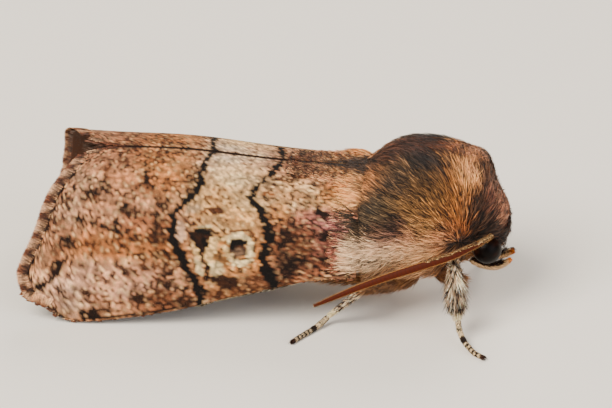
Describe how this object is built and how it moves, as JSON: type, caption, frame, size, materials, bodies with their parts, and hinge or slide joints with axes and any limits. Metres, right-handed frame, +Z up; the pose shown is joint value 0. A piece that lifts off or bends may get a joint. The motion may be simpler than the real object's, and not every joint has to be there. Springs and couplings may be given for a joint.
{
  "type": "moth",
  "caption": "Life-size thick-bodied moth at rest, standing on its feet with patterned wings folded like a roof over its back and furry thorax.",
  "frame": {"origin": "middle of the bounding box's underside, on the surface the feet stand on", "axes": "+X towards the head along the body, +Y to the moth's left, +Z up"},
  "size_m": [0.022, 0.0106, 0.0082],
  "materials": {
    "head_hair": "long soft hair, dark brown with pinkish tips",
    "collar_hair": "long soft hair, dark brown streaked with pale tips",
    "thorax_hair": "long silky hair, olive brown, orange brown at the sides",
    "tegula_hair": "long silky hair, orange brown to cream",
    "abdomen_hair": "short dense hair, greyish tan",
    "eye": "glossy near-black compound eye",
    "palp_scales": "tan scales",
    "antenna_shaft": "orange-brown shaft with cream scales along one edge",
    "forewing_scales": "flat scales, brown and pinkish cream with black lines and a cream figure",
    "hindwing_scales": "thin flat scales, plain greyish brown",
    "leg_hair": "shaggy pale grey hair with dark flecks",
    "tarsus_scales": "flat scales in dark brown and cream bands"
  },
  "bodies": {
    "root": {"head": "head_hair", "collar": "collar_hair", "thorax": "thorax_hair", "tegula_left": "tegula_hair", "tegula_right": "tegula_hair", "abdomen": "abdomen_hair", "eye_left": "eye", "eye_right": "eye", "palp_left": "palp_scales", "palp_right": "palp_scales", "antenna_left": "antenna_shaft", "antenna_right": "antenna_shaft", "forewing_left": "forewing_scales", "forewing_right": "forewing_scales", "hindwing_left": "hindwing_scales", "hindwing_right": "hindwing_scales", "foreleg_left_coxa": "leg_hair", "foreleg_left_femur": "leg_hair", "foreleg_left_tibia": "leg_hair", "foreleg_left_tarsus": "tarsus_scales", "foreleg_right_coxa": "leg_hair", "foreleg_right_femur": "leg_hair", "foreleg_right_tibia": "leg_hair", "foreleg_right_tarsus": "tarsus_scales", "midleg_left_coxa": "leg_hair", "midleg_left_femur": "leg_hair", "midleg_left_tibia": "leg_hair", "midleg_left_tarsus": "tarsus_scales", "midleg_right_coxa": "leg_hair", "midleg_right_femur": "leg_hair", "midleg_right_tibia": "leg_hair", "midleg_right_tarsus": "tarsus_scales", "hindleg_left_coxa": "leg_hair", "hindleg_left_femur": "leg_hair", "hindleg_left_tibia": "leg_hair", "hindleg_left_tarsus": "tarsus_scales", "hindleg_right_coxa": "leg_hair", "hindleg_right_femur": "leg_hair", "hindleg_right_tibia": "leg_hair", "hindleg_right_tarsus": "tarsus_scales"}
  },
  "joints": []
}
